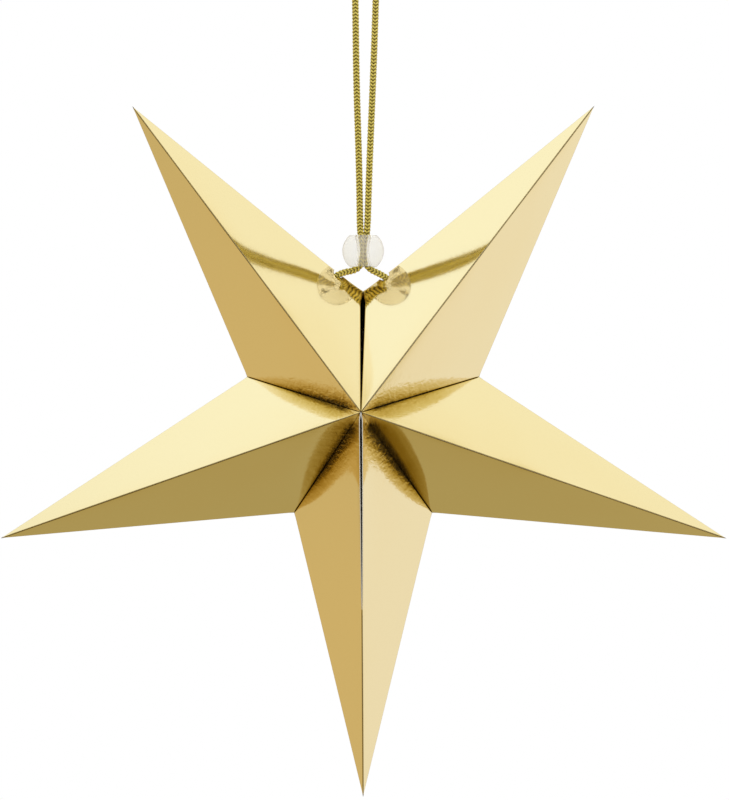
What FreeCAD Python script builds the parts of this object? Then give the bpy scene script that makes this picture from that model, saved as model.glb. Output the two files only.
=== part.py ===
import FreeCAD, Part
import math
import os
import Sketcher

# Folding star of foil card that hangs on a braided cord.
# Five arms, each folded from one sheet of card into a hollow four-sided spike.
# The frame has its origin where the loop of cord bears on its hook.
# +Z is up, the front of the star faces -Y, and +X is to the right.

Vector = FreeCAD.Vector

doc = FreeCAD.newDocument("hanging_star")

# Driving sizes in millimetres and degrees

sheet = doc.addObject("Spreadsheet::Sheet", "Sizes")

SIZES = [
    ("hub_below_hook", 208.0),
    ("tip_radius", 157.8),
    ("notch_radius", 49.9),
    ("half_depth", 51.4),
    ("bottom_arm_angle", 69.2),
    ("side_arm_angle", 72.6),
    ("upper_arm_angle", 71.6),
    ("card_thickness", 0.4),
    ("flap_width", 11.0),
    ("tab_width", 9.0),
    ("hole_diameter", 4.5),
    ("hole_left_from_notch", 11.6),
    ("hole_right_from_notch", 9.9),
    ("cord_diameter", 2.7),
    ("knot_diameter", 7.0),
    ("knot_behind_hole", 5.4),
    ("bead_above_hub", 66.4),
    ("bead_diameter", 17.1),
    ("bead_height", 12.9),
    ("bead_bore", 6.0),
    ("bead_rim_round", 1.4),
    ("bead_edge_round", 0.6),
]

for row, (alias, value) in enumerate(SIZES, start=1):
    sheet.set(f"A{row}", alias)
    sheet.set(f"B{row}", str(value))
    sheet.setAlias(f"B{row}", alias)
doc.recompute()


def size(alias):
    return float(sheet.get(alias))


def bind(item, bindings):
    for prop, expression in bindings.items():
        item.setExpression(prop, expression)


class ArmKind:
    """Lengths and angles of one kind of arm, as expressions of the driving sizes."""

    def __init__(self, name):
        self.name = name
        self.half_angle = f"(Sizes.{name}_arm_angle / 2)"
        # Half the width that the spike's long creases would reach at the hub
        self.half_width = (
            f"(Sizes.tip_radius * Sizes.notch_radius * sin({self.half_angle})"
            f" / (Sizes.tip_radius - Sizes.notch_radius * cos({self.half_angle})))"
        )
        # Turn of a pair of opposite panels about the spike's axis
        self.panel_turn = f"atan({self.half_width} / Sizes.half_depth)"
        # Distance from the axis to a panel, measured square to it at the hub
        self.panel_reach = (
            f"({self.half_width} * Sizes.half_depth"
            f" / sqrt({self.half_width} ^ 2 + Sizes.half_depth ^ 2))"
        )
        # Steepness of a panel: distance square to it for each millimetre along the axis
        slope = (
            f"sqrt(1 / {self.half_width} ^ 2 + 1 / Sizes.half_depth ^ 2"
            f" + 1 / Sizes.tip_radius ^ 2)"
        )
        # The same steepness, seen along the flank wall between two arms
        flank_slope = (
            f"sqrt({slope} ^ 2 - (cos({self.half_angle}) / {self.half_width}"
            f" - sin({self.half_angle}) / Sizes.tip_radius) ^ 2)"
        )
        # How far a spike slides back along its axis to lie one layer of card deeper
        self.one_layer = f"(Sizes.card_thickness * Sizes.tip_radius * {slope})"
        # The same slide for the inner edge of the glue flaps on the flanks
        self.flap_slide = f"(Sizes.flap_width * Sizes.tip_radius * {flank_slope})"
        # Slide that makes a flank wall one layer thick
        self.flank_slide = f"(Sizes.card_thickness / sin({self.half_angle}))"


# Solids of an arm, drawn with the arm's axis along +Z from the hub


def roof(name, kind, side, slide):
    # Prism with a ridge through the tip and two opposite panels as its slopes
    prism = doc.addObject("Part::Wedge", name)
    bind(
        prism,
        {
            "Xmin": f"-{kind.panel_reach}",
            "Xmax": kind.panel_reach,
            "Ymin": "0",
            "Ymax": "Sizes.tip_radius",
            "Zmin": "-Sizes.half_depth - Sizes.tip_radius",
            "Zmax": "Sizes.half_depth + Sizes.tip_radius",
            "X2min": "0",
            "X2max": "0",
            "Z2min": "-Sizes.half_depth - Sizes.tip_radius",
            "Z2max": "Sizes.half_depth + Sizes.tip_radius",
            "Placement.Rotation.Yaw": f"{side} * {kind.panel_turn}",
            "Placement.Rotation.Roll": "90",
            "Placement.Base.z": f"-{slide}",
        },
    )
    return prism


def spike(name, kind, slide):
    # Four-sided spike: where the two crossed roofs overlap
    solid = doc.addObject("Part::Common", f"{kind.name}_{name}")
    solid.Base = roof(solid.Name + "_roof_left", kind, "1", slide)
    solid.Tool = roof(solid.Name + "_roof_right", kind, "-1", slide)
    return solid


def sector(name, kind, slide):
    # Slice of the circle that one arm may fill, between its two flanks
    wedge = doc.addObject("Part::Wedge", f"{kind.name}_{name}")
    bind(
        wedge,
        {
            "Xmin": f"-Sizes.tip_radius * tan({kind.half_angle})",
            "Xmax": f"Sizes.tip_radius * tan({kind.half_angle})",
            "Ymin": "-Sizes.tip_radius",
            "Ymax": "0",
            "Zmin": "-2 * Sizes.half_depth",
            "Zmax": "2 * Sizes.half_depth",
            "X2min": "0",
            "X2max": "0",
            "Z2min": "-2 * Sizes.half_depth",
            "Z2max": "2 * Sizes.half_depth",
            "Placement.Rotation.Roll": "-90",
            "Placement.Base.z": slide,
        },
    )
    return wedge


def boolean(operation, name, base, tool):
    result = doc.addObject("Part::" + operation, name)
    result.Base = base
    result.Tool = tool
    return result


def fold_sheet(kind):
    # The card of one arm: a shell with open flanks, and the tab that closes the sheet
    def combine(operation, name, base, tool):
        return boolean(operation, f"{kind.name}_{name}", base, tool)

    outer_spike = spike("outer_spike", kind, "0")
    inner_spike = spike("inner_spike", kind, kind.one_layer)
    tab_spike = spike("tab_spike", kind, f"(2 * {kind.one_layer})")
    window_spike = spike("window_spike", kind, kind.flap_slide)
    outer_sector = sector("outer_sector", kind, "0")
    inner_sector = sector("inner_sector", kind, kind.flank_slide)

    # Four panels and two flank walls of card round the hollow of the arm
    block = combine("Common", "block", outer_spike, outer_sector)
    hollow = combine("Common", "hollow", inner_spike, inner_sector)
    closed_shell = combine("Cut", "closed_shell", block, hollow)

    # Each flank is open in the middle, which leaves glue flaps along its edges
    folded_shell = combine("Cut", "folded_shell", closed_shell, window_spike)

    # Glue tab, a second layer inside the back ridge
    tab_strip = doc.addObject("Part::Box", f"{kind.name}_tab_strip")
    bind(
        tab_strip,
        {
            "Length": "Sizes.tab_width",
            "Width": "Sizes.half_depth",
            "Height": "Sizes.tip_radius",
            "Placement.Base.x": "-Sizes.tab_width",
        },
    )
    second_layer = combine("Cut", "second_layer", hollow, tab_spike)
    glue_tab = combine("Common", "glue_tab", second_layer, tab_strip)
    return folded_shell, glue_tab


BOTTOM = ArmKind("bottom")
SIDE = ArmKind("side")
UPPER = ArmKind("upper")

bottom_sheet = fold_sheet(BOTTOM)
side_sheet = fold_sheet(SIDE)
upper_sheet = fold_sheet(UPPER)
upper_blank = boolean("Fuse", "upper_blank", *upper_sheet)


# Cord holes, punched through the long crease that faces the open seam


def cord_hole(name, side, from_notch):
    # The axis is square to the crease and in the star's middle plane
    punch = doc.addObject("Part::Cylinder", name)
    crease_angle = f"atan({UPPER.half_width} / Sizes.tip_radius)"
    across = (
        f"(Sizes.notch_radius * sin({UPPER.half_angle}) - {from_notch} * sin({crease_angle})"
        f" - Sizes.hole_diameter * cos({crease_angle}))"
    )
    along = (
        f"(Sizes.notch_radius * cos({UPPER.half_angle}) + {from_notch} * cos({crease_angle})"
        f" - Sizes.hole_diameter * sin({crease_angle}))"
    )
    bind(
        punch,
        {
            "Radius": "Sizes.hole_diameter / 2",
            "Height": "2 * Sizes.hole_diameter",
            "Placement.Rotation.Pitch": f"{side} * (90 deg - {crease_angle})",
            "Placement.Base.x": f"{side} * {across}",
            "Placement.Base.z": along,
        },
    )
    return punch


left_hole = cord_hole("left_hole", "1", "Sizes.hole_left_from_notch")
right_hole = cord_hole("right_hole", "-1", "Sizes.hole_right_from_notch")


# The five arms, fanned out from the bottom one and glued flank to flank

SIDE_TURN = "(Sizes.bottom_arm_angle + Sizes.side_arm_angle) / 2"
UPPER_TURN = (
    "(Sizes.bottom_arm_angle / 2 + Sizes.side_arm_angle + Sizes.upper_arm_angle / 2)"
)


def place_arm(arm, turn):
    arm.Label = arm.Name
    arm.setExpression(
        "Placement",
        f"placement(vector(0; 0; -Sizes.hub_below_hook); rotation(vector(0; 1; 0); {turn}))",
    )
    return arm


arm_bottom = boolean("Fuse", "arm_bottom", *bottom_sheet)
arm_right = boolean("Fuse", "arm_right", *side_sheet)
arm_left = boolean("Fuse", "arm_left", *side_sheet)
arm_upper_left = boolean("Cut", "arm_upper_left", upper_blank, left_hole)
arm_upper_right = boolean("Cut", "arm_upper_right", upper_blank, right_hole)

place_arm(arm_bottom, "180")
place_arm(arm_right, f"180 - {SIDE_TURN}")
place_arm(arm_upper_right, f"180 - {UPPER_TURN}")
place_arm(arm_left, f"{SIDE_TURN} - 180")
place_arm(arm_upper_left, f"{UPPER_TURN} - 180")


# Clear bead that slides on both strands: a flattened ball with a wide bore

bead = doc.addObject("PartDesign::Body", "slide_bead")
bead.Label = "slide_bead"
upright_plane = [f for f in bead.Origin.OriginFeatures if f.Role == "XZ_Plane"][0]
profile = bead.newObject("Sketcher::SketchObject", "bead_profile")
profile.AttachmentSupport = [(upright_plane, "")]
profile.MapMode = "FlatFace"

bore_radius = size("bead_bore") / 2
ball_radius = size("bead_diameter") / 2
half_height = size("bead_height") / 2
face_radius = math.sqrt(ball_radius**2 - half_height**2)
face_angle = math.atan2(half_height, face_radius)

bore_top = Vector(bore_radius, half_height, 0)
bore_foot = Vector(bore_radius, -half_height, 0)
face_top = Vector(face_radius, half_height, 0)
face_foot = Vector(face_radius, -half_height, 0)
ball = Part.Circle(Vector(0, 0, 0), Vector(0, 0, 1), ball_radius)

bore_side = profile.addGeometry(Part.LineSegment(bore_foot, bore_top))
top_side = profile.addGeometry(Part.LineSegment(bore_top, face_top))
ball_side = profile.addGeometry(Part.ArcOfCircle(ball, -face_angle, face_angle))
foot_side = profile.addGeometry(Part.LineSegment(face_foot, bore_foot))


def constrain(*words):
    return profile.addConstraint(Sketcher.Constraint(*words))


constrain("Coincident", bore_side, 2, top_side, 1)
constrain("Coincident", top_side, 2, ball_side, 2)
constrain("Coincident", ball_side, 1, foot_side, 1)
constrain("Coincident", foot_side, 2, bore_side, 1)
constrain("Coincident", ball_side, 3, -1, 1)
constrain("Vertical", bore_side)
constrain("Horizontal", top_side)
constrain("Horizontal", foot_side)
bore_size = constrain("DistanceX", -1, 1, bore_side, 1, bore_radius)
ball_size = constrain("Radius", ball_side, ball_radius)
top_size = constrain("DistanceY", -1, 1, bore_side, 2, half_height)
foot_size = constrain("DistanceY", bore_side, 1, -1, 1, half_height)
bind(
    profile,
    {
        f"Constraints[{bore_size}]": "Sizes.bead_bore / 2",
        f"Constraints[{ball_size}]": "Sizes.bead_diameter / 2",
        f"Constraints[{top_size}]": "Sizes.bead_height / 2",
        f"Constraints[{foot_size}]": "Sizes.bead_height / 2",
    },
)

turned = bead.newObject("PartDesign::Revolution", "bead_turned")
turned.Profile = profile
turned.ReferenceAxis = (profile, ["V_Axis"])
turned.Angle = 360
doc.recompute()


def rims(shape, radius):
    # Names of the round edges of this radius about the bead's own axis
    names = []
    for number, edge in enumerate(shape.Edges, start=1):
        if isinstance(edge.Curve, Part.Circle) and abs(edge.Curve.Radius - radius) < 1e-4:
            if abs(abs(edge.Curve.Axis.z) - 1) < 1e-6:
                names.append(f"Edge{number}")
    return names


bore_rims = bead.newObject("PartDesign::Fillet", "bore_rims")
bore_rims.Base = (turned, rims(turned.Shape, bore_radius))
bore_rims.setExpression("Radius", "Sizes.bead_rim_round")
doc.recompute()

face_edges = bead.newObject("PartDesign::Fillet", "face_edges")
face_edges.Base = (bore_rims, rims(bore_rims.Shape, face_radius))
face_edges.setExpression("Radius", "Sizes.bead_edge_round")
bead.Tip = face_edges
bead.setExpression("Placement.Base.z", "Sizes.bead_above_hub - Sizes.hub_below_hook")


# Braided cord, one length from a knot in the upper left arm, up through the bead,
# over the hook and back down to a knot in the upper right arm

INSIDE_LEFT_ARM = [
    (-16.1, -161.1),
    (-14.7, -155.1),
]
LEFT_HOLE = (-10.0, -150.65)
UP_AND_OVER_THE_HOOK = [
    (-1.5, -149.25),
    (-1.47, -143.6),
    (-1.4, -134.6),
    (-1.95, -121.5),
    (-2.25, -102.5),
    (-3.4, -71.0),
    (-4.15, -40.0),
    (-4.85, -18.0),
    (-4.8, 1.35),
    (4.85, 1.35),
    (4.75, -18.0),
    (4.1, -40.0),
    (3.45, -71.0),
    (2.15, -102.5),
    (2.0, -121.5),
    (1.4, -134.6),
    (1.47, -144.0),
    (1.5, -148.62),
]
RIGHT_HOLE = (8.7, -151.8)
INSIDE_RIGHT_ARM = [
    (13.5, -156.1),
    (14.7, -162.0),
]


def tangent_route(points):
    # Straight runs joined by arcs as large as the two runs beside each point allow
    edges = []
    radii = []
    start = points[0]
    for before, corner, after in zip(points, points[1:], points[2:]):
        run_in = corner - before
        run_out = after - corner
        half_turn = run_in.getAngle(run_out) / 2
        reach = 0.45 * min(run_in.Length, run_out.Length)
        radius = reach / math.tan(half_turn)
        first = corner - run_in.normalize() * reach
        last = corner + run_out.normalize() * reach
        inward = (last - corner) + (first - corner)
        middle = corner + inward.normalize() * radius * (1 / math.cos(half_turn) - 1)
        edges.append(Part.LineSegment(start, first).toShape())
        edges.append(Part.Arc(first, middle, last).toShape())
        radii.append(radius)
        start = last
    edges.append(Part.LineSegment(start, points[-1]).toShape())
    return Part.Wire(edges), radii


def in_middle_plane(points):
    return [Vector(x, 0, z) for x, z in points]


left_run = in_middle_plane(INSIDE_LEFT_ARM)
right_run = in_middle_plane(INSIDE_RIGHT_ARM)
(left_mouth,) = in_middle_plane([LEFT_HOLE])
(right_mouth,) = in_middle_plane([RIGHT_HOLE])
route_points = [
    *left_run,
    left_mouth,
    *in_middle_plane(UP_AND_OVER_THE_HOOK),
    right_mouth,
    *right_run,
]

cord_radius = size("cord_diameter") / 2
route, arc_radii = tangent_route(route_points)
first_place, second_place = left_run
first_run = second_place - first_place
section = Part.Wire([Part.makeCircle(cord_radius, first_place, first_run)])
strand = route.makePipeShell([section], True, False)


def end_knot(hole_point, next_point):
    # Round overhand knot that bears against the inside of the arm at its hole
    inward = (next_point - hole_point).normalize()
    centre = hole_point + inward * size("knot_behind_hole")
    return Part.makeSphere(size("knot_diameter") / 2, centre)


last_left, nearest_left = left_run
nearest_right, last_right = right_run
left_knot = end_knot(left_mouth, nearest_left)
right_knot = end_knot(right_mouth, nearest_right)

cord = doc.addObject("Part::Feature", "hanging_cord")
cord.Label = "hanging_cord"
cord.Shape = strand.fuse([left_knot, right_knot])
cord.Placement = FreeCAD.Placement()

doc.recompute()

# Every object is sound, and each piece is one closed solid

PIECES = [
    arm_bottom,
    arm_right,
    arm_upper_right,
    arm_upper_left,
    arm_left,
    cord,
    bead,
]

for item in doc.Objects:
    if "Invalid" in item.State or "Error" in item.State:
        raise RuntimeError(f"{item.Name} failed: {item.State}")
for piece in PIECES:
    if piece.Shape.isNull() or not piece.Shape.isValid():
        raise RuntimeError(f"{piece.Label} has no sound shape")
    if len(piece.Shape.Solids) != 1:
        raise RuntimeError(f"{piece.Label} is {len(piece.Shape.Solids)} solids")

print("cord arcs, mm:", [round(radius, 2) for radius in arc_radii])
print("cord length, mm:", round(route.Length, 1))
print("strand volume / section x length:", strand.Volume / (math.pi * cord_radius**2 * route.Length))

os.makedirs("parts", exist_ok=True)
for piece in PIECES:
    piece.Shape.exportStep(f"parts/{piece.Label}.step")
    print(piece.Label, "volume, mm3:", round(piece.Shape.Volume, 1))
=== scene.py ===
"""Looks for a hanging star folded from foil card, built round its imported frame."""

import math

import bmesh
import bpy
from bpy.props import FloatProperty, FloatVectorProperty, PointerProperty
from mathutils import Matrix, Vector, kdtree, noise


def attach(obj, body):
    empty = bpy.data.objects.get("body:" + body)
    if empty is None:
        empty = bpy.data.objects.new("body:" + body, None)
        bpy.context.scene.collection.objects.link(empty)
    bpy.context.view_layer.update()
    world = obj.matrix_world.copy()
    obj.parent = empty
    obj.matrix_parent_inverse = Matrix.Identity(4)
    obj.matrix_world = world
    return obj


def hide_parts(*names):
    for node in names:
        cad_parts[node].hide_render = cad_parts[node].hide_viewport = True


bl_info = {
    "name": "Folded foil star",
    "version": (1, 0, 0),
    "blender": (4, 5, 0),
    "location": "View3D > Sidebar > Foil star",
    "description": "Builds a five-armed star of folded foil card on its cord, with a soft studio",
    "category": "Object",
}

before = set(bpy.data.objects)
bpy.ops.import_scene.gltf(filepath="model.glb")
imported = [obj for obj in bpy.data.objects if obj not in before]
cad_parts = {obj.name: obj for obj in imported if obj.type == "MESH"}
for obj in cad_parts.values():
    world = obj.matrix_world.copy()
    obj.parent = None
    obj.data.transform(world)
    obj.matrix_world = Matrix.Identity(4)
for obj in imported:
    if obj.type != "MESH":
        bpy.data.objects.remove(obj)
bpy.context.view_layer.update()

MM = 0.001
HUB = Vector((0, 0, -208.0 * MM))

# The cord's route in the star's middle plane, in millimetres. Inside the bead its two strands
# pass one in front of the other.
INSIDE_LEFT_ARM = [(-16.1, 0, -161.1), (-14.7, 0, -155.1)]
LEFT_HOLE = (-10.0, 0, -150.65)
UP_TO_HOOK = [
    (-1.5, 0, -149.25),
    (-0.5, -1.2, -144.2),
    (-0.5, -1.2, -138.8),
    (-1.25, 0, -133.2),
    (-1.4, 0, -121.5),
    (-1.75, 0, -102.5),
    (-2.8, 0, -71.0),
    (-3.15, 0, -40.0),
    (-3.7, 0, -18.0),
    (-3.6, 0, 1.35),
]
DOWN_FROM_HOOK = [
    (5.7, 0, 1.35),
    (5.7, 0, -18.0),
    (5.2, 0, -40.0),
    (4.1, 0, -71.0),
    (2.75, 0, -102.5),
    (2.1, 0, -121.5),
    (1.75, 0, -133.2),
    (0.8, 1.2, -138.8),
    (0.8, 1.2, -144.2),
    (1.5, 0, -148.62),
]
RIGHT_HOLE = (8.7, 0, -151.8)
INSIDE_RIGHT_ARM = [(13.5, 0, -156.1), (14.7, 0, -162.0)]

# Each arm's kind, and the side of the bottom arm that it is on
ARMS = {
    "arm_bottom": ("bottom", 0),
    "arm_right": ("side", -1),
    "arm_upper_right": ("upper", -1),
    "arm_left": ("side", 1),
    "arm_upper_left": ("upper", 1),
}

# How the panels roll down into the glued valleys on an arm's two sides: the drop near the
# hub and half way to the notch, how far from the valley the roll starts, in millimetres, and
# how crinkled the foil is there
VALLEY_ROLLS = {
    "arm_bottom": {"left": (0.8, 0.8, 9, 1.0), "right": (0.8, 0.7, 9, 0.6)},
    "arm_right": {"left": (0.4, 0.3, 9, 0.4), "right": (0.8, 0.8, 12, 0.1)},
    "arm_upper_right": {"left": (0, 0, 8, 0), "right": (0.4, 0.3, 8, 0.5)},
    "arm_left": {"left": (0.8, 0.7, 13, 0.7), "right": (0.8, 0.5, 9, 0.4)},
    "arm_upper_left": {"left": (0.8, 0.5, 8, 0.9), "right": (0, 0, 8, 0)},
}


def length(label, text, value):
    return FloatProperty(
        name=label, description=text, default=value * MM, unit="LENGTH", precision=5
    )


def turn(label, text, value):
    return FloatProperty(
        name=label, description=text, default=math.radians(value), subtype="ANGLE"
    )


def colour(label, text, value):
    return FloatVectorProperty(
        name=label, description=text, default=value, size=3, subtype="COLOR", min=0, max=1
    )


def share(label, text, value):
    return FloatProperty(
        name=label, description=text, default=value, min=0, max=1, subtype="FACTOR"
    )


class CardSizes(bpy.types.PropertyGroup):
    tip_radius: length("Tip radius", "From the hub to an arm's tip", 157.8)
    notch_radius: length("Notch radius", "From the hub to a notch between two arms", 49.9)
    half_depth: length("Half depth", "From the middle plane to the front point", 51.4)
    bottom_angle: turn("Bottom arm angle", "Angle that the bottom arm takes round the hub", 69.2)
    side_angle: turn("Side arm angle", "Angle that each side arm takes round the hub", 72.6)
    upper_angle: turn("Upper arm angle", "Angle that each upper arm takes round the hub", 71.6)
    card_thickness: length("Card thickness", "Thickness of the foil card", 0.4)
    flap_width: length("Flap width", "Width of the glue flaps on an arm's flanks", 11.0)
    hole_diameter: length("Hole diameter", "Across the cord hole in each upper arm", 4.5)
    crease_width: length("Crease width", "Width of the rolled card each side of a crease", 0.3)
    panel_pillow: length("Panel pillow", "How far a panel stands out inside its edges", 0.04)
    panel_dents: length("Panel dents", "Height of the soft dents in a panel", 0.08)
    slit_length: share("Slit", "Part of the bottom arm's front ridge that is open", 0.5)


class CordSizes(bpy.types.PropertyGroup):
    diameter: length("Cord diameter", "Across the braided cord", 3.3)
    lay_length: length("Lay length", "Length in which a yarn goes once round", 5.6)
    yarn_diameter: length("Yarn diameter", "Across one yarn of the braid", 0.96)
    real_length: length("Cord length", "From one end to the other", 346.0)
    knot_diameter: length("Knot diameter", "Across the knot at each end", 7.0)


class BeadSizes(bpy.types.PropertyGroup):
    above_hub: length("Height above the hub", "From the hub to the bead's middle", 66.4)
    diameter: length("Bead diameter", "Across the bead", 17.1)
    height: length("Bead height", "From the lower to the upper face", 12.9)
    bore: length("Bore", "Across the hole for the two strands", 6.0)
    waist: length("Waist", "Across the narrow middle of the bore", 4.4)
    rim_round: length("Rim rounding", "Rounding at the ends of the bore", 1.4)


class Finishes(bpy.types.PropertyGroup):
    foil: colour("Foil", "Gold foil on the card", (0.93, 0.78, 0.41))
    card: colour("Card", "Paper core and inside of the card", (0.80, 0.76, 0.66))
    cord: colour("Cord", "Metallic yarn", (1.0, 0.82, 0.17))
    # Near-black painted shade between the yarns: the yarns darken towards it in the gaps, and the
    # core takes it as its colour.
    cord_gap_shade: colour("Painted gap shade", "Core seen between the yarns", (0.06, 0.035, 0.01))
    bead: colour("Bead", "Clear plastic", (1.0, 0.985, 0.93))
    foil_roughness: share("Foil roughness", "How much the foil blurs what it mirrors", 0.07)


class StageSizes(bpy.types.PropertyGroup):
    camera_distance: length("Camera distance", "From the star's middle plane", 2200.0)
    view_height: length("View height", "Height that the picture covers at the star", 328.6)
    tent_radius: length("Tent radius", "Radius of the round light tent", 1000.0)
    floor_height: length("Floor height", "Height of the floor's top", -1300.0)


GROUPS = {
    "card_sizes": CardSizes,
    "cord_sizes": CordSizes,
    "bead_sizes": BeadSizes,
    "finishes": Finishes,
    "stage_sizes": StageSizes,
}


# Shader nodes


class Nodes:
    """Adds nodes to a tree and links them."""

    def __init__(self, tree):
        self.tree = tree

    def add(self, kind, settings=None, **sockets):
        node = self.tree.nodes.new(kind)
        for key, value in (settings or {}).items():
            setattr(node, key, value)
        for key, value in sockets.items():
            self.set(node, key.replace("_", " "), value)
        return node

    def set(self, node, key, value):
        socket = node.inputs[key]
        if isinstance(value, bpy.types.NodeSocket):
            self.tree.links.new(value, socket)
        else:
            socket.default_value = value

    def math(self, operation, *values):
        node = self.tree.nodes.new("ShaderNodeMath")
        node.operation = operation
        for number, value in enumerate(values):
            self.set(node, number, value)
        return node.outputs[0]

    def mix(self, factor, first, second, kind="MIX"):
        node = self.tree.nodes.new("ShaderNodeMix")
        node.data_type = "RGBA"
        node.blend_type = kind
        for socket, value in ((0, factor), (6, first), (7, second)):
            self.set(node, socket, value)
        return node.outputs[2]

    def ramp(self, factor, stops, interpolation="LINEAR"):
        node = self.tree.nodes.new("ShaderNodeValToRGB")
        node.color_ramp.interpolation = interpolation
        elements = node.color_ramp.elements
        while len(elements) < len(stops):
            elements.new(0.5)
        for element, (position, value) in zip(elements, stops):
            element.position = position
            element.color = (*value, 1)
        self.set(node, 0, factor)
        return node.outputs["Color"]


def new_material(name):
    material = bpy.data.materials.new(name)
    material.use_nodes = True
    nodes = Nodes(material.node_tree)
    shader = material.node_tree.nodes["Principled BSDF"]
    return material, nodes, shader


def new_group(name, inputs, outputs):
    group = bpy.data.node_groups.new(name, "ShaderNodeTree")
    for label, kind, value in inputs:
        socket = group.interface.new_socket(label, in_out="INPUT", socket_type=kind)
        if value is not None:
            socket.default_value = value
    for label, kind in outputs:
        group.interface.new_socket(label, in_out="OUTPUT", socket_type=kind)
    nodes = Nodes(group)
    return group, nodes, nodes.add("NodeGroupInput").outputs, nodes.add("NodeGroupOutput")


def foil_skin_group():
    """Soft waves, fine crinkles and dull patches of foil pressed on card, with a painted dark line
    along its creases: painted dark reflection on the ridges and painted shade in the valleys.
    """
    group, n, given, result = new_group(
        "foil_skin",
        [
            ("Color", "NodeSocketColor", (1, 1, 1, 1)),
            ("Roughness", "NodeSocketFloat", 0.13),
            ("Crinkle", "NodeSocketFloat", 0.0),
            ("Painted Crease Shade", "NodeSocketFloat", 0.0),
        ],
        [
            ("Color", "NodeSocketColor"),
            ("Roughness", "NodeSocketFloat"),
            ("Height", "NodeSocketFloat"),
        ],
    )
    place = n.add("ShaderNodeTexCoord").outputs["Object"]
    waves = n.add("ShaderNodeTexNoise", Vector=place, Scale=26.0, Detail=1.0).outputs["Fac"]
    fibres = n.add("ShaderNodeTexNoise", Vector=place, Scale=420.0, Detail=3.0).outputs["Fac"]
    long_waves = n.add("ShaderNodeMapping", Vector=place, Scale=(0.45, 1, 1))
    creased = n.add(
        "ShaderNodeTexNoise",
        Vector=long_waves.outputs[0],
        Scale=420.0,
        Detail=3.0,
        Roughness=0.55,
        Distortion=0.6,
    ).outputs["Fac"]
    height = n.math("MULTIPLY", waves, 0.19)
    height = n.math("MULTIPLY_ADD", fibres, 0.004, height)
    crinkled = n.math("MULTIPLY", creased, n.math("MULTIPLY", given["Crinkle"], 0.16))
    height = n.math("ADD", height, crinkled)
    dull = n.math("MULTIPLY_ADD", fibres, 0.05, n.math("SUBTRACT", given["Roughness"], 0.025))
    dull = n.math("MULTIPLY_ADD", given["Crinkle"], 0.05, dull)
    # Painted dark reflection along the ridges and painted shade in the glued valleys: the foil
    # colour is darkened to near-black there.
    line = n.math("SMOOTH_MIN", n.math("MULTIPLY", given["Painted Crease Shade"], 3.0), 1.0, 0.1)
    n.set(result, "Color", n.mix(line, given["Color"], (0.10, 0.07, 0.03, 1)))
    n.set(result, "Roughness", dull)
    n.set(result, "Height", height)
    return group


def make_foil(finishes, group):
    material, n, shader = new_material("gold_foil")
    skin = n.add("ShaderNodeGroup", {"node_tree": group})
    n.set(skin, "Color", (*finishes.foil, 1))
    n.set(skin, "Roughness", finishes.foil_roughness)
    crinkle = n.add("ShaderNodeAttribute", {"attribute_name": "crinkle"}).outputs["Fac"]
    n.set(skin, "Crinkle", crinkle)
    # Painted crease shade: the dark line along the ridges and valleys, marked on each arm's
    # vertices when it is folded.
    crease_paint = n.add("ShaderNodeAttribute", {"attribute_name": "painted_crease_shade"}).outputs["Fac"]
    n.set(skin, "Painted Crease Shade", crease_paint)
    bump = n.add("ShaderNodeBump", Strength=1.0, Distance=0.001, Height=skin.outputs["Height"])
    n.set(shader, "Base Color", skin.outputs["Color"])
    n.set(shader, "Roughness", skin.outputs["Roughness"])
    n.set(shader, "Normal", bump.outputs["Normal"])
    n.set(shader, "Metallic", 1.0)
    return material


def make_card(finishes):
    material, n, shader = new_material("paper_core")
    place = n.add("ShaderNodeTexCoord").outputs["Object"]
    pulp = n.add("ShaderNodeTexNoise", Vector=place, Scale=900.0, Detail=4.0).outputs["Fac"]
    dark = tuple(0.82 * c for c in finishes.card)
    n.set(shader, "Base Color", n.mix(pulp, (*dark, 1), (*finishes.card, 1)))
    bump = n.add("ShaderNodeBump", Strength=0.3, Distance=0.0001, Height=pulp)
    n.set(shader, "Normal", bump.outputs["Normal"])
    n.set(shader, "Roughness", 0.85)
    return material


def make_yarn(finishes):
    material, n, shader = new_material("metallic_yarn")
    place = n.add("ShaderNodeTexCoord").outputs["Object"]
    threads = n.add("ShaderNodeTexNoise", Vector=place, Scale=2600.0, Detail=2.0).outputs["Fac"]
    patches = n.add("ShaderNodeTexNoise", Vector=place, Scale=380.0, Detail=2.0).outputs["Fac"]
    dark = tuple(0.6 * c for c in finishes.cord)
    shade = n.math("MULTIPLY_ADD", patches, 0.6, n.math("MULTIPLY", threads, 0.5))
    lit = n.mix(shade, (*dark, 1), (*finishes.cord, 1))
    # Painted shade: the yarns darken to the near-black gap colour where they run deep between the
    # others.
    height = n.add("ShaderNodeAttribute", {"attribute_name": "height"}).outputs["Fac"]
    painted_gap_shade = n.math("POWER", height, 1.6)
    n.set(shader, "Base Color", n.mix(painted_gap_shade, (*finishes.cord_gap_shade, 1), lit))
    bump = n.add("ShaderNodeBump", Strength=0.6, Distance=0.0001, Height=threads)
    n.set(shader, "Normal", bump.outputs["Normal"])
    n.set(shader, "Metallic", 0.5)
    n.set(shader, "Roughness", 0.3)
    return material


def make_cord_core(finishes):
    material, n, shader = new_material("cord_core")
    place = n.add("ShaderNodeTexCoord").outputs["Object"]
    fluff = n.add("ShaderNodeTexNoise", Vector=place, Scale=1800.0, Detail=2.0).outputs["Fac"]
    # The core is coloured with the near-black painted gap shade, darker still in random patches.
    dark = tuple(0.4 * c for c in finishes.cord_gap_shade)
    n.set(shader, "Base Color", n.mix(fluff, (*dark, 1), (*finishes.cord_gap_shade, 1)))
    n.set(shader, "Roughness", 0.9)
    return material


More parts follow.
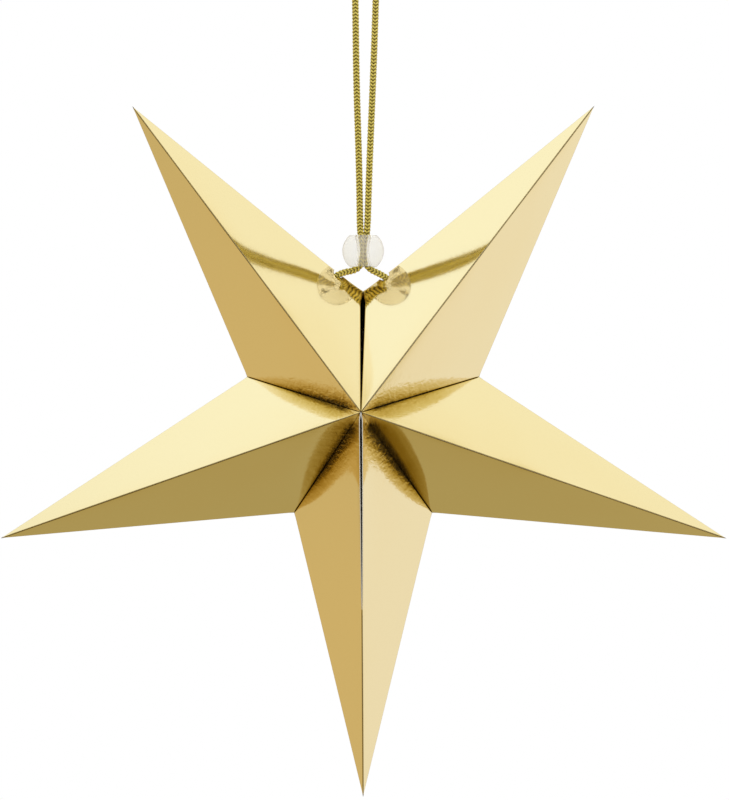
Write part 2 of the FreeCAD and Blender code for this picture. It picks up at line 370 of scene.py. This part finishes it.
def make_bead_plastic(finishes):
    material, n, shader = new_material("clear_plastic")
    place = n.add("ShaderNodeTexCoord").outputs["Object"]
    haze = n.add("ShaderNodeTexNoise", Vector=place, Scale=320.0, Detail=2.0).outputs["Fac"]
    pale = tuple(0.94 * c for c in finishes.bead)
    n.set(shader, "Base Color", n.mix(haze, (*pale, 1), (*finishes.bead, 1)))
    n.set(shader, "Roughness", n.math("MULTIPLY_ADD", haze, 0.05, 0.0))
    n.set(shader, "Transmission Weight", 0.82)
    n.set(shader, "IOR", 1.2)
    return material


MAKERS = {
    "gold_foil": lambda f: make_foil(f, foil_skin_group()),
    "paper_core": make_card,
    "metallic_yarn": make_yarn,
    "cord_core": make_cord_core,
    "clear_plastic": make_bead_plastic,
}


def finish_named(name):
    return bpy.data.materials.get(name) or MAKERS[name](bpy.context.scene.foil_star_finishes)


# Objects


def new_object(name, mesh, *materials):
    for material in materials:
        mesh.materials.append(material)
    piece = bpy.data.objects.new(name, mesh)
    bpy.context.scene.collection.objects.link(piece)
    return piece


def mesh_from(bm, name):
    mesh = bpy.data.meshes.new(name)
    bm.to_mesh(mesh)
    bm.free()
    mesh.shade_smooth()
    return mesh


# The arms


def arm_angles(sizes, name):
    """The angle that an arm takes round the hub, and its turn from straight down."""
    kind, side = ARMS[name]
    own = getattr(sizes, kind + "_angle")
    away = {
        "bottom": 0,
        "side": (sizes.bottom_angle + sizes.side_angle) / 2,
        "upper": sizes.bottom_angle / 2 + sizes.side_angle + sizes.upper_angle / 2,
    }
    return own, side * away[kind]


def arm_corners(sizes, name):
    half = arm_angles(sizes, name)[0] / 2
    side = sizes.notch_radius * math.sin(half)
    along = sizes.notch_radius * math.cos(half)
    return {
        "tip": Vector((0, 0, sizes.tip_radius)),
        "front": Vector((0, -sizes.half_depth, 0)),
        "back": Vector((0, sizes.half_depth, 0)),
        "left": Vector((-side, 0, along)),
        "right": Vector((side, 0, along)),
    }


PANEL_CUTS = 56
SUPPORT_ROW = 0.25 * MM
FLAP_FADE = 9 * MM
ROLL_START = 0.12
SLIT_OPENING = 0.7 * MM
SLIT_EASE = 2 * MM
VALLEY_CRINKLE = 10 * MM
HUB_CRINKLE = 50 * MM


def line_distance(point, start, end):
    along = (end - start).normalized()
    offset = point - start
    return (offset - along * offset.dot(along)).length


def crease_list(bm):
    """Start, end and the two outward normals of each edge of the sharp spike."""
    creases = []
    for edge in bm.edges:
        first, second = (face.normal.copy() for face in edge.link_faces)
        creases.append((edge.verts[0].co.copy(), edge.verts[1].co.copy(), first, second))
    return creases


def rolled(point, creases, corners, width):
    """How a point of the sharp spike shifts when its creases are rolled over a width of card."""
    shift = Vector()
    count = 0
    for start, end, first, second in creases:
        distance = line_distance(point, start, end)
        if distance > 0.75 * width:
            continue
        half_turn = first.angle(second) / 2
        radius = width / math.tan(half_turn)
        outward = (first + second).normalized()
        along = (end - start).normalized()
        foot = start + along * (point - start).dot(along)
        centre = foot - outward * radius / math.cos(half_turn)
        sideways = point - foot
        sideways -= outward * sideways.dot(outward)
        if sideways.length < 1e-7:
            target = centre + outward * radius
        else:
            part = half_turn * distance / width
            target = centre + radius * (
                outward * math.cos(part) + sideways.normalized() * math.sin(part)
            )
        shift += target - point
        count += 1
    if not count:
        return shift
    nearest = min((point - corner).length for corner in corners.values())
    return shift / count * min(1.0, nearest / (6 * width))


def rise(distance, reach):
    """0 at an edge, and close to 1 beyond a reach from it."""
    return 1 - math.exp(-distance / reach)


def panel_lift(point, sizes, corners, side, depth, seed):
    """How far the card stands out of the sharp panel that the point lies on."""
    tip, side, depth = corners["tip"], corners[side], corners[depth]
    from_side = line_distance(point, tip, side)
    from_ridge = line_distance(point, tip, depth)
    from_valley = line_distance(point, side, depth)
    inside = rise(from_side, 5 * MM) * rise(from_ridge, 3 * MM) * rise(from_valley, 5 * MM)
    soft = noise.noise(point / (30 * MM) + seed)
    return inside * (sizes.panel_pillow + sizes.panel_dents * soft)


def valley_drop(point, corners, side, depth, roll, on_flank):
    """How the card near a glued valley rolls down into it, along the flank."""
    at_hub, half_way, reach = (value * MM for value in roll[:3])
    start, end = corners[depth], corners[side]
    along = (end - start).normalized()
    place = max(0.0, min(1.0, (point - start).dot(along) / (end - start).length))
    if place < 0.5:
        drop = (at_hub + (half_way - at_hub) * place / 0.5) * min(1.0, place / ROLL_START)
    else:
        drop = half_way * (1 - place) / 0.5
    from_valley = line_distance(point, start, end)
    if on_flank:
        drop *= max(0.0, 1 - from_valley / FLAP_FADE)
    else:
        from_ridge = line_distance(point, corners["tip"], start)
        drop *= max(0.0, 1 - from_valley / reach) ** 2
        drop *= min(1.0, 2 * from_ridge / (from_ridge + from_valley + 1e-9))
    inward = -Vector((0, math.copysign(1, start.y), 0))
    inward -= along * inward.dot(along)
    return inward.normalized() * drop


def open_slit(bm, sizes):
    """Opens the front ridge from the hub outwards, narrowing to nothing at its end."""
    end = sizes.slit_length * sizes.tip_radius
    row = sizes.crease_width / 2
    strips = [
        f
        for f in bm.faces
        if f.calc_center_median().y < -2 * MM
        and abs(f.calc_center_median().x) < 0.8 * row
        and 1 * MM < f.calc_center_median().z < end
    ]
    bmesh.ops.delete(bm, geom=strips, context="FACES")
    for vertex in bm.verts:
        x, y, z = vertex.co
        if y < 0 and 0 < z < end and abs(x) > row / 2:
            opening = SLIT_OPENING * math.sqrt((1 - z / end) * min(1, z / (3 * MM)))
            vertex.co.x += math.copysign(opening * math.exp(-abs(x) / SLIT_EASE), x)


def fold_arm(sizes, name):
    """One arm as a sheet: four panels with rolled creases and the glue flaps of its two flanks."""
    corners = arm_corners(sizes, name)
    bm = bmesh.new()
    for corner in corners.values():
        bm.verts.new(corner)
    bmesh.ops.convex_hull(bm, input=bm.verts[:])
    bmesh.ops.recalc_face_normals(bm, faces=bm.faces[:])
    creases = crease_list(bm)
    faces = bm.faces[:]
    flanks = [f for f in faces if all(v.co.z < sizes.notch_radius for v in f.verts)]
    for thickness in (sizes.crease_width / 2, sizes.crease_width / 2, SUPPORT_ROW):
        bmesh.ops.inset_individual(bm, faces=faces, thickness=thickness, use_even_offset=True)
    bmesh.ops.inset_individual(
        bm,
        faces=flanks,
        thickness=sizes.flap_width - sizes.crease_width - SUPPORT_ROW,
        use_even_offset=True,
    )
    bmesh.ops.delete(bm, geom=flanks, context="FACES_ONLY")
    hub_strips = [
        f
        for f in bm.faces
        if abs(f.normal.y) < 0.01
        and f.calc_center_median().xz.length < 0.55 * sizes.flap_width
        and abs(f.calc_center_median().y) < 0.7 * sizes.half_depth
    ]
    bmesh.ops.delete(bm, geom=hub_strips, context="FACES")
    long_edges = [e for e in bm.edges if e.calc_length() > 1.2 * sizes.flap_width]
    bmesh.ops.subdivide_edges(bm, edges=long_edges, cuts=PANEL_CUTS, use_grid_fill=True)
    bmesh.ops.recalc_face_normals(bm, faces=bm.faces[:])

    crinkle = bm.verts.layers.float.new("crinkle")
    # Marks the creases for the painted dark line: painted reflection on the ridges, painted shade
    # in the valleys.
    painted_crease_shade = bm.verts.layers.float.new("painted_crease_shade")
    kind, hand = ARMS[name]
    seed = Vector((17.0 * len(kind), 5.0 * hand, 3.0))
    half = arm_angles(sizes, name)[0] / 2
    places = [vertex.co.copy() for vertex in bm.verts]
    normals = {}
    for vertex, point in zip(bm.verts, places):
        side = "left" if point.x < 0 else "right"
        depth = "front" if point.y < 0 else "back"
        valley = (corners[depth], corners[side])
        from_valley = line_distance(point, *valley)
        from_ridge = line_distance(point, corners["tip"], corners[depth])
        outward = Vector((math.copysign(math.cos(half), point.x), 0, -math.sin(half)))
        on_flank = abs(point.dot(outward)) < 1e-6
        if (side, depth) not in normals:
            flat = (corners[side] - corners["tip"]).cross(corners[depth] - corners["tip"])
            normals[side, depth] = flat.normalized() * math.copysign(1, flat.dot(corners[side]))
        from_hub = (point - corners[depth]).length
        roll = VALLEY_ROLLS[name][side]
        near = math.exp(-((from_valley / VALLEY_CRINKLE) ** 2) - (from_hub / HUB_CRINKLE) ** 2)
        vertex[crinkle] = roll[3] * near
        # Full painted dark reflection on the ridges, 0.6 of it as painted shade in the valleys.
        vertex[painted_crease_shade] = 1.0 * (from_ridge < 1e-6) + 0.6 * (from_valley < 1e-6)
        shift = rolled(point, creases, corners, sizes.crease_width)
        shift += valley_drop(point, corners, side, depth, roll, on_flank)
        if not on_flank:
            lift = panel_lift(point, sizes, corners, side, depth, seed)
            shift += normals[side, depth] * lift
        vertex.co = point + shift
    if kind == "bottom":
        open_slit(bm, sizes)
    return bm


def close_seam_behind(bm, sizes, name):
    """Brings the two free flanks of the open top seam together at the back of the star."""
    hand = ARMS[name][1]
    own, away = arm_angles(sizes, name)
    gap = math.pi - abs(away) - own / 2
    flank = Vector((hand * math.cos(own / 2), 0, -math.sin(own / 2)))
    along = Vector((hand * math.sin(own / 2), 0, math.cos(own / 2)))
    for vertex in bm.verts:
        near = math.exp(min(0.0, vertex.co.dot(flank)) / (6 * MM))
        behind = max(0.0, min(1.0, 1 + vertex.co.y / (4 * MM)))
        reach = max(0.0, min(vertex.co.dot(along), sizes.notch_radius))
        vertex.co += flank * (near * behind * reach * math.tan(0.995 * gap))


def punch(mesh_object, centre, axis, diameter):
    """Cuts the round cord hole through the card."""
    bm = bmesh.new()
    turn_to_axis = axis.to_track_quat("Z", "Y").to_matrix().to_4x4()
    bmesh.ops.create_cone(
        bm,
        cap_ends=True,
        segments=40,
        radius1=diameter / 2,
        radius2=diameter / 2,
        depth=3.2 * diameter,
        matrix=Matrix.Translation(centre) @ turn_to_axis,
    )
    cutter = new_object("cord_hole_punch", mesh_from(bm, "cord_hole_punch"))
    cut = mesh_object.modifiers.new("cord hole", "BOOLEAN")
    cut.operation = "DIFFERENCE"
    cut.solver = "EXACT"
    cut.use_self = True
    cut.use_hole_tolerant = True
    cut.object = cutter
    bpy.context.view_layer.update()
    graph = bpy.context.evaluated_depsgraph_get()
    finished = bpy.data.meshes.new_from_object(mesh_object.evaluated_get(graph))
    mesh_object.modifiers.clear()
    mesh_object.data = finished
    bpy.data.objects.remove(cutter)


def add_arms(context):
    sizes = context.scene.foil_star_card_sizes
    for name, (kind, hand) in ARMS.items():
        bm = fold_arm(sizes, name)
        if kind == "upper":
            close_seam_behind(bm, sizes, name)
        away = arm_angles(sizes, name)[1]
        bm.transform(Matrix.Translation(HUB) @ Matrix.Rotation(math.pi + away, 4, "Y"))
        mesh = mesh_from(bm, name + "_card")
        finishes = finish_named("gold_foil"), finish_named("paper_core")
        arm = new_object(name + "_card", mesh, *finishes)
        wall = arm.modifiers.new("card thickness", "SOLIDIFY")
        wall.thickness = sizes.card_thickness
        wall.offset = -1
        wall.material_offset = 1
        wall.material_offset_rim = 1
        if kind == "upper":
            hole = Vector(LEFT_HOLE if hand > 0 else RIGHT_HOLE) * MM
            corners = arm_corners(sizes, name)
            crease = corners["tip"] - corners["left"]
            outward = Vector((hand * crease.z, 0, crease.x))
            outward = Matrix.Rotation(math.pi + away, 3, "Y") @ outward
            punch(arm, hole, outward, sizes.hole_diameter)
        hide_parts(name)
        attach(arm, "root")


# The cord


def cord_line(sizes):
    """Points of the smooth line that the cord follows, from the left arm to the right one."""
    route = [
        *INSIDE_LEFT_ARM,
        LEFT_HOLE,
        *UP_TO_HOOK,
        *DOWN_FROM_HOOK,
        RIGHT_HOLE,
        *INSIDE_RIGHT_ARM,
    ]
    curve = bpy.data.curves.new("cord_line", "CURVE")
    curve.dimensions = "3D"
    spline = curve.splines.new("NURBS")
    spline.points.add(len(route) - 1)
    for point, place in zip(spline.points, route):
        point.co = (*(value * MM for value in place), 1)
    spline.order_u = 3
    spline.use_endpoint_u = True
    spline.resolution_u = 16
    holder = bpy.data.objects.new("cord_line", curve)
    bpy.context.scene.collection.objects.link(holder)
    bpy.context.view_layer.update()
    mesh = bpy.data.meshes.new_from_object(holder)
    points = [vertex.co.copy() for vertex in mesh.vertices]
    bpy.data.objects.remove(holder)
    bpy.data.curves.remove(curve)
    bpy.data.meshes.remove(mesh)
    return points


def even_stations(points, step):
    """Places a step apart along a line, each with its direction and distance from the start."""
    stations = []
    travelled = 0.0
    wanted = 0.0
    for start, end in zip(points, points[1:]):
        run = (end - start).length
        while run and wanted <= travelled + run:
            place = start.lerp(end, (wanted - travelled) / run)
            stations.append((place, (end - start) / run, wanted))
            wanted += step
        travelled += run
    return stations


YARNS_EACH_WAY = 4
STEPS_PER_TURN = 15


def pinch(place):
    """How thin the bead's narrow middle squeezes the cord, 1 away from the bead."""
    bead = bpy.context.scene.foil_star_bead_sizes
    from_middle = (place.z - HUB.z - bead.above_hub) / (0.34 * bead.height)
    return 1 - 0.5 * math.exp(-(from_middle**2))


def braid_lines(sizes, points):
    """Lines of the yarns, each way round on top in its own two quarters of the cord."""
    stations = even_stations(points, sizes.lay_length / STEPS_PER_TURN)
    sway = 0.34 * sizes.yarn_diameter
    reach = sizes.diameter / 2 - sizes.yarn_diameter / 2 - sway
    lines = []
    for way in (1, -1):
        for yarn in range(YARNS_EACH_WAY):
            line = []
            for place, along, distance in stations:
                angle = math.tau * (way * distance / sizes.lay_length + yarn / YARNS_EACH_WAY)
                tight = pinch(place)
                radius = tight * (reach + way * sway * math.sin(2 * angle))
                sideways = Vector((along.z, 0, -along.x)).normalized()
                behind = along.cross(sideways)
                side = sideways * math.cos(angle) + behind * math.sin(angle)
                line.append((place + radius * side, tight))
            lines.append(line)
    return lines


def tubes(name, lines, diameter, roundness):
    """A mesh of round tubes along lines."""
    curve = bpy.data.curves.new(name, "CURVE")
    curve.dimensions = "3D"
    curve.bevel_depth = diameter / 2
    curve.bevel_resolution = roundness
    curve.use_fill_caps = True
    for line in lines:
        spline = curve.splines.new("POLY")
        spline.points.add(len(line) - 1)
        for point, (place, tight) in zip(spline.points, line):
            point.co = (*place, 1)
            point.radius = tight
    holder = bpy.data.objects.new(name, curve)
    bpy.context.scene.collection.objects.link(holder)
    bpy.context.view_layer.update()
    mesh = bpy.data.meshes.new_from_object(holder)
    bpy.data.objects.remove(holder)
    bpy.data.curves.remove(curve)
    return mesh


def knot_line(centre, sizes):
    """The line of the two turns that a tight overhand knot shows."""
    reach = (sizes.knot_diameter - sizes.diameter) / 2
    line = []
    for step in range(49):
        angle = 2 * math.tau * step / 48
        swing = 0.8 + 0.2 * math.cos(1.5 * angle)
        turned = Vector((math.cos(angle), math.sin(angle), 0)) * swing
        turned.z = 0.6 * math.sin(1.5 * angle)
        line.append((centre + reach * turned, 1))
    return line


def mark_depth(bm, sizes, points):
    """Gives each point of the yarns its height, from 0 in the gaps to 1 on the outside, which the
    yarn's material uses for its painted shade in the gaps.
    """
    tree = kdtree.KDTree(len(points))
    for number, point in enumerate(points):
        tree.insert(point, number)
    tree.balance()
    height = bm.verts.layers.float.new("height")
    outside = sizes.diameter / 2
    for vertex in bm.verts:
        point, number, _ = tree.find(vertex.co)
        near = points[max(0, number - 1)], points[min(len(points) - 1, number + 1)]
        away = line_distance(vertex.co, *near) / (outside * pinch(point))
        vertex[height] = max(0.0, min(1.0, (away - 0.42) / 0.5))


def add_cord(context):
    sizes = context.scene.foil_star_cord_sizes
    points = cord_line(sizes)
    yarns = tubes("yarns", braid_lines(sizes, points), sizes.yarn_diameter, 1)
    knots = [
        knot_line(mouth + (inner - mouth).normalized() * 5.4 * MM, sizes)
        for mouth, inner in (
            (Vector(LEFT_HOLE) * MM, Vector(INSIDE_LEFT_ARM[-1]) * MM),
            (Vector(RIGHT_HOLE) * MM, Vector(INSIDE_RIGHT_ARM[0]) * MM),
        )
    ]
    centre = [(point, pinch(point)) for point in points]
    core = tubes("core", [centre], sizes.diameter - 2.0 * sizes.yarn_diameter, 2)
    turns = tubes("turns", knots, sizes.diameter - 0.2 * MM, 3)
    bm = bmesh.new()
    bm.from_mesh(yarns)
    bm.from_mesh(turns)
    yarn_faces = len(bm.faces)
    bm.from_mesh(core)
    bm.faces.ensure_lookup_table()
    for number, face in enumerate(bm.faces):
        face.material_index = 0 if number < yarn_faces else 1
    mark_depth(bm, sizes, points)
    for mesh in (yarns, turns, core):
        bpy.data.meshes.remove(mesh)
    cord = new_object(
        "braided_cord",
        mesh_from(bm, "braided_cord"),
        finish_named("metallic_yarn"),
        finish_named("cord_core"),
    )
    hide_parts("hanging_cord")
    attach(cord, "root")


# The bead

BEAD_STEPS = 64


def add_bead(context):
    sizes = context.scene.foil_star_bead_sizes
    ball = sizes.diameter / 2
    half = sizes.height / 2
    bore = sizes.bore / 2
    rim = sizes.rim_round
    bm = bmesh.new()
    face_radius = math.sqrt(ball * ball - half * half)
    outline = []
    top_angle = math.atan2(half, face_radius)
    for step in range(15):
        angle = top_angle * (1 - step / 7)
        outline.append((ball * math.cos(angle), ball * math.sin(angle)))
    for step in range(7):
        angle = -math.pi / 2 - math.pi / 2 * step / 6
        outline.append((bore + rim + rim * math.cos(angle), -half + rim + rim * math.sin(angle)))
    for step in range(1, 8):
        place = 2 * step / 8 - 1
        waist = sizes.waist / 2 + (bore - sizes.waist / 2) * place * place
        outline.append((waist, place * (half - rim)))
    for step in range(7):
        angle = math.pi - math.pi / 2 * step / 6
        outline.append((bore + rim + rim * math.cos(angle), half - rim + rim * math.sin(angle)))
    vertices = [bm.verts.new((x, 0, z)) for x, z in outline]
    edges = [bm.edges.new(pair) for pair in zip(vertices, vertices[1:] + vertices[:1])]
    bmesh.ops.spin(
        bm,
        geom=vertices + edges,
        cent=(0, 0, 0),
        axis=(0, 0, 1),
        angle=math.tau,
        steps=BEAD_STEPS,
        use_merge=True,
    )
    bmesh.ops.remove_doubles(bm, verts=bm.verts[:], dist=1e-6)
    bmesh.ops.recalc_face_normals(bm, faces=bm.faces[:])
    bm.transform(Matrix.Translation(HUB + Vector((0, 0, sizes.above_hub))))
    bead = new_object("clear_bead", mesh_from(bm, "clear_bead"), finish_named("clear_plastic"))
    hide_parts("slide_bead")
    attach(bead, "root")


# The studio

# Direction round the star, in degrees from the right and rising over the top, with the
# colour of the tent's cloth there
TENT_COLOURS = [
    (-180, (0.57, 0.49, 0.31)),
    (-158, (0.66, 0.54, 0.33)),
    (-130, (0.44, 0.37, 0.20)),
    (-90, (0.44, 0.38, 0.21)),
    (-60, (0.62, 0.56, 0.45)),
    (-22, (0.90, 0.90, 1.00)),
    (20, (0.97, 1.00, 1.13)),
    (55, (0.99, 1.02, 1.04)),
    (90, (1.02, 1.06, 1.15)),
    (126, (1.04, 1.12, 1.27)),
    (150, (0.90, 0.92, 0.95)),
    (180, (0.57, 0.49, 0.31)),
]


# Degrees behind the star's plane, and how the tent's cloth is tinted there. A dark band runs
# round the tent in front of that plane, as in a studio with its lamps behind and above.
TENT_DEPTHS = [
    (-56, (0.95, 0.95, 0.95)),
    (-18, (0.90, 0.88, 0.84)),
    (-11, (0.10, 0.07, 0.04)),
    (-6, (0.012, 0.009, 0.005)),
    (4, (0.02, 0.014, 0.006)),
    (6, (0.18, 0.12, 0.02)),
    (8, (0.43, 0.31, 0.035)),
    (11, (0.75, 0.66, 0.36)),
    (13.5, (1, 0.97, 0.92)),
    (16, (1, 1, 1)),
    (24, (1, 1, 1)),
    (38, (0.74, 0.68, 0.58)),
    (56, (0.55, 0.48, 0.38)),
]
TENT_EDGE = 56
TENT_STRENGTH = 1.5

# The tent's soft light at its foot, its middle and its top
SOFT_LIGHT = [(0, 0.3), (0.5, 0.62), (1, 0.9)]


def glow(material, n, mirrored, soft):
    """Cloth that glows with its pattern in mirrored views and plainly for soft light."""
    material.node_tree.nodes.remove(material.node_tree.nodes["Principled BSDF"])
    glossy = n.add("ShaderNodeLightPath").outputs["Is Glossy Ray"]
    colour = n.mix(glossy, soft, mirrored)
    light = n.add("ShaderNodeEmission", Color=colour, Strength=TENT_STRENGTH)
    n.set(material.node_tree.nodes["Material Output"], "Surface", light.outputs[0])
    return material


def tent_material(sizes):
    material, n, _ = new_material("tent_cloth")
    place = n.add("ShaderNodeSeparateXYZ", Vector=n.add("ShaderNodeTexCoord").outputs["Object"])
    angle = n.math("ARCTAN2", place.outputs["Z"], place.outputs["X"])
    round_tent = n.math("MULTIPLY_ADD", angle, 1 / math.tau, 0.5)
    cloth = n.ramp(
        round_tent,
        [
            ((degrees + 180) / 360, tuple(c / TENT_STRENGTH for c in tint))
            for degrees, tint in TENT_COLOURS
        ],
        "EASE",
    )
    behind = n.math("ARCTAN2", place.outputs["Y"], sizes.tent_radius)
    depth = n.math("MULTIPLY_ADD", behind, 0.5 / math.radians(TENT_EDGE), 0.5)
    fall = n.ramp(depth, [(0.5 + 0.5 * a / TENT_EDGE, tint) for a, tint in TENT_DEPTHS])
    height = n.math("MULTIPLY_ADD", place.outputs["Z"], 0.5 / sizes.tent_radius, 0.5)
    soft = n.ramp(height, [(place, (grey, grey, grey)) for place, grey in SOFT_LIGHT])
    return glow(material, n, n.mix(1.0, cloth, fall, "MULTIPLY"), soft)


def cap_material(name, tint):
    material, n, _ = new_material(name)
    mirrored = tuple(c / TENT_STRENGTH for c in tint)
    return glow(material, n, (*mirrored, 1), (0.64, 0.64, 0.64, 1))


def floor_material():
    material, n, shader = new_material("pale_floor")
    n.set(shader, "Base Color", (0.86, 0.86, 0.86, 1))
    n.set(shader, "Roughness", 0.9)
    seen = n.add("ShaderNodeLightPath").outputs
    shown = n.math("MAXIMUM", seen["Is Camera Ray"], seen["Is Glossy Ray"])
    shown = n.math("MAXIMUM", shown, seen["Is Transmission Ray"])
    white = n.add("ShaderNodeEmission", Color=(1, 1, 1, 1), Strength=1.0).outputs[0]
    part = n.add("ShaderNodeMixShader")
    n.set(part, 0, n.math("MULTIPLY", shown, 0.85))
    n.set(part, 1, shader.outputs[0])
    n.set(part, 2, white)
    below = n.add("ShaderNodeMixShader")
    n.set(below, 0, n.add("ShaderNodeNewGeometry").outputs["Backfacing"])
    n.set(below, 1, part.outputs[0])
    n.set(below, 2, n.add("ShaderNodeBsdfTransparent").outputs[0])
    n.set(material.node_tree.nodes["Material Output"], "Surface", below.outputs[0])
    return material


def stage_object(name, bm, material, place, hidden_from_camera):
    item = new_object(name, mesh_from(bm, name), material)
    item.location = place
    item.visible_camera = not hidden_from_camera
    if hidden_from_camera:
        item.visible_shadow = False
        item.visible_transmission = False
    return item


def add_tent(sizes):
    upright = Matrix.Rotation(math.pi / 2, 3, "X")
    wall = bmesh.new()
    bmesh.ops.create_cone(
        wall,
        cap_ends=False,
        segments=96,
        radius1=sizes.tent_radius,
        radius2=sizes.tent_radius,
        depth=3 * sizes.tent_radius,
    )
    bmesh.ops.rotate(wall, verts=wall.verts[:], matrix=upright)
    stage_object("light_tent", wall, tent_material(sizes), HUB, True)
    for name, side, tint in (
        ("tent_front", -1, (0.95, 0.95, 0.95)),
        ("tent_back", 1, (0.52, 0.45, 0.36)),
    ):
        cap = bmesh.new()
        bmesh.ops.create_circle(cap, cap_ends=True, segments=96, radius=sizes.tent_radius)
        bmesh.ops.rotate(cap, verts=cap.verts[:], matrix=upright)
        place = HUB + Vector((0, side * 1.5 * sizes.tent_radius, 0))
        stage_object(name, cap, cap_material(name + "_cloth", tint), place, True)


def add_camera(sizes):
    data = bpy.data.cameras.new("photo_camera")
    data.sensor_fit = "AUTO"
    data.sensor_width = 36
    data.lens = data.sensor_width * sizes.camera_distance / sizes.view_height
    data.clip_end = 100
    camera = bpy.data.objects.new("photo_camera", data)
    bpy.context.scene.collection.objects.link(camera)
    aim = Vector((0.57 * MM, 0, -202.8 * MM))
    azimuth, elevation = math.radians(1.0), math.radians(-0.3)
    back = Vector(
        (
            math.sin(azimuth) * math.cos(elevation),
            -math.cos(azimuth) * math.cos(elevation),
            math.sin(elevation),
        )
    )
    camera.location = aim + back * sizes.camera_distance
    camera.rotation_euler = (-back).to_track_quat("-Z", "Y").to_euler()
    bpy.context.scene.camera = camera


def add_world():
    world = bpy.data.worlds.new("white_studio")
    world.use_nodes = True
    background = world.node_tree.nodes["Background"]
    background.inputs["Color"].default_value = (1, 1, 1, 1)
    background.inputs["Strength"].default_value = 1.0
    bpy.context.scene.world = world


class FOILSTAR_OT_stage(bpy.types.Operator):
    """Sets up the camera, the light tent, the white surroundings and the floor"""

    bl_idname = "foilstar.stage"
    bl_label = "Studio and camera"

    def execute(self, context):
        sizes = context.scene.foil_star_stage_sizes
        context.scene.view_settings.view_transform = "Standard"
        add_camera(sizes)
        add_world()
        add_tent(sizes)
        floor = bmesh.new()
        bmesh.ops.create_grid(floor, x_segments=1, y_segments=1, size=4.0)
        stage_object("studio_floor", floor, floor_material(), (0, 0, sizes.floor_height), False)
        return {"FINISHED"}


class FOILSTAR_OT_bead(bpy.types.Operator):
    """Turns the clear bead that holds the two strands together"""

    bl_idname = "foilstar.bead"
    bl_label = "Clear bead"

    def execute(self, context):
        add_bead(context)
        return {"FINISHED"}


class FOILSTAR_OT_cord(bpy.types.Operator):
    """Braids the metallic cord along its route"""

    bl_idname = "foilstar.cord"
    bl_label = "Braided cord"

    def execute(self, context):
        add_cord(context)
        return {"FINISHED"}


class FOILSTAR_OT_arms(bpy.types.Operator):
    """Folds the five arms of foil card"""

    bl_idname = "foilstar.arms"
    bl_label = "Folded arms"

    def execute(self, context):
        add_arms(context)
        return {"FINISHED"}


class FOILSTAR_PT_panel(bpy.types.Panel):
    bl_idname = "FOILSTAR_PT_panel"
    bl_label = "Foil star"
    bl_space_type = "VIEW_3D"
    bl_region_type = "UI"
    bl_category = "Foil star"

    def draw(self, context):
        for operator in OPERATORS:
            self.layout.operator(operator.bl_idname)
        for group in GROUPS:
            values = getattr(context.scene, "foil_star_" + group)
            box = self.layout.box()
            for key in values.__annotations__:
                box.prop(values, key)


OPERATORS = (FOILSTAR_OT_stage, FOILSTAR_OT_bead, FOILSTAR_OT_cord, FOILSTAR_OT_arms)


def register():
    for item in (*GROUPS.values(), *OPERATORS, FOILSTAR_PT_panel):
        bpy.utils.register_class(item)
    for name, group in GROUPS.items():
        setattr(bpy.types.Scene, "foil_star_" + name, PointerProperty(type=group))


def unregister():
    for name in GROUPS:
        delattr(bpy.types.Scene, "foil_star_" + name)
    for item in (FOILSTAR_PT_panel, *reversed(OPERATORS), *reversed(GROUPS.values())):
        bpy.utils.unregister_class(item)


def main():
    register()
    bpy.ops.foilstar.stage()
    bpy.ops.foilstar.bead()
    bpy.ops.foilstar.cord()
    bpy.ops.foilstar.arms()


if __name__ == "__main__":
    main()
